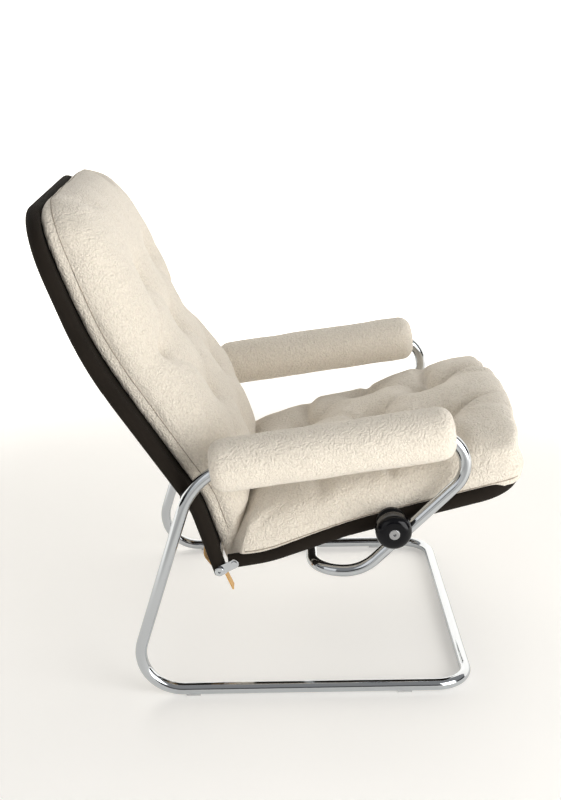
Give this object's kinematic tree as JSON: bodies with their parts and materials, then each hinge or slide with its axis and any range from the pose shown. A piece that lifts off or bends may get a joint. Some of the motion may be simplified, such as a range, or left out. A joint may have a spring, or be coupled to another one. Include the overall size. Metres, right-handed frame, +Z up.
{
  "type": "reclining armchair",
  "caption": "Reclining lounge armchair on a bent chrome tube base, with canvas slings, tufted cream cushions, padded arm sleeves and clamp knobs that lock the sliding seat.",
  "frame": {"origin": "on the floor, below the middle of the chair's bounding box", "axes": "+Z up, the sitter faces -Y, +X to the sitter's left"},
  "size_m": [0.731, 0.8955, 0.9028],
  "materials": {
    "chromed_tube": "mirror polished",
    "rail_steel": "polished",
    "foam": "open cell foam",
    "cream_boucle": "looped wool weave",
    "brown_canvas": "plain weave",
    "glide_plastic": "matt",
    "steel": "bright",
    "chromed_fitting": "polished",
    "roller_plastic": "satin",
    "black_gloss": "gloss",
    "tan_leather": "natural"
  },
  "bodies": {
    "frame": {"base_tube": "chromed_tube", "rail_tube": "chromed_tube", "splice_spigot_left": "rail_steel", "splice_spigot_right": "rail_steel", "arm_foam_left": "foam", "arm_foam_right": "foam", "arm_cover_left": "cream_boucle", "arm_cover_right": "cream_boucle", "glide_front_left": "glide_plastic", "glide_front_right": "glide_plastic", "glide_rear_left": "glide_plastic", "glide_rear_right": "glide_plastic", "pivot_stud_left": "steel", "pivot_stud_right": "steel", "pivot_ring_left": "steel", "pivot_ring_right": "steel"},
    "backrest": {"back_tube": "rail_steel", "back_sling": "brown_canvas", "back_cushion": "cream_boucle", "hinge_axle": "steel", "pivot_bush_left": "glide_plastic", "pivot_bush_right": "glide_plastic", "hinge_cap_left": "chromed_fitting", "hinge_cap_right": "chromed_fitting", "tie_strap_left": "tan_leather", "tie_strap_right": "tan_leather"},
    "seat": {"seat_tube": "rail_steel", "seat_sling": "brown_canvas", "seat_cushion": "cream_boucle", "hinge_plate_left": "chromed_fitting", "hinge_plate_right": "chromed_fitting", "plate_bolt_left": "chromed_fitting", "plate_bolt_right": "chromed_fitting", "clamp_stud_left": "steel", "clamp_stud_right": "steel", "inner_disc_left": "steel", "inner_disc_right": "steel", "clamp_roller_left": "roller_plastic", "clamp_roller_right": "roller_plastic", "outer_disc_left": "steel", "outer_disc_right": "steel"},
    "knob_left": {"knob_left": "black_gloss", "knob_insert_left": "steel", "knob_screw_left": "chromed_fitting"},
    "knob_right": {"knob_right": "black_gloss", "knob_insert_right": "steel", "knob_screw_right": "chromed_fitting"}
  },
  "joints": [
    {"name": "back_recline", "type": "hinge", "parent": "frame", "child": "backrest", "pos_m": [0, 0.18135, 0.38728], "axis": [-1, 0, 0], "range_deg": [0, 18]},
    {"name": "seat_tilt", "type": "hinge", "parent": "backrest", "child": "seat", "pos_m": [0, 0.12707, 0.24297], "axis": [-1, 0, 0], "range_deg": [-15.5, 0.5]},
    {"name": "knob_left_turn", "type": "hinge", "parent": "seat", "child": "knob_left", "pos_m": [0.3308, -0.18072, 0.33581], "axis": [1, 0, 0], "range_deg": [0, 360]},
    {"name": "knob_right_turn", "type": "hinge", "parent": "seat", "child": "knob_right", "pos_m": [-0.3308, -0.18072, 0.33581], "axis": [-1, 0, 0], "range_deg": [0, 360]}
  ],
  "couplings": [
    {"joint": "seat_tilt", "follows": "back_recline", "ratio": -0.84}
  ]
}
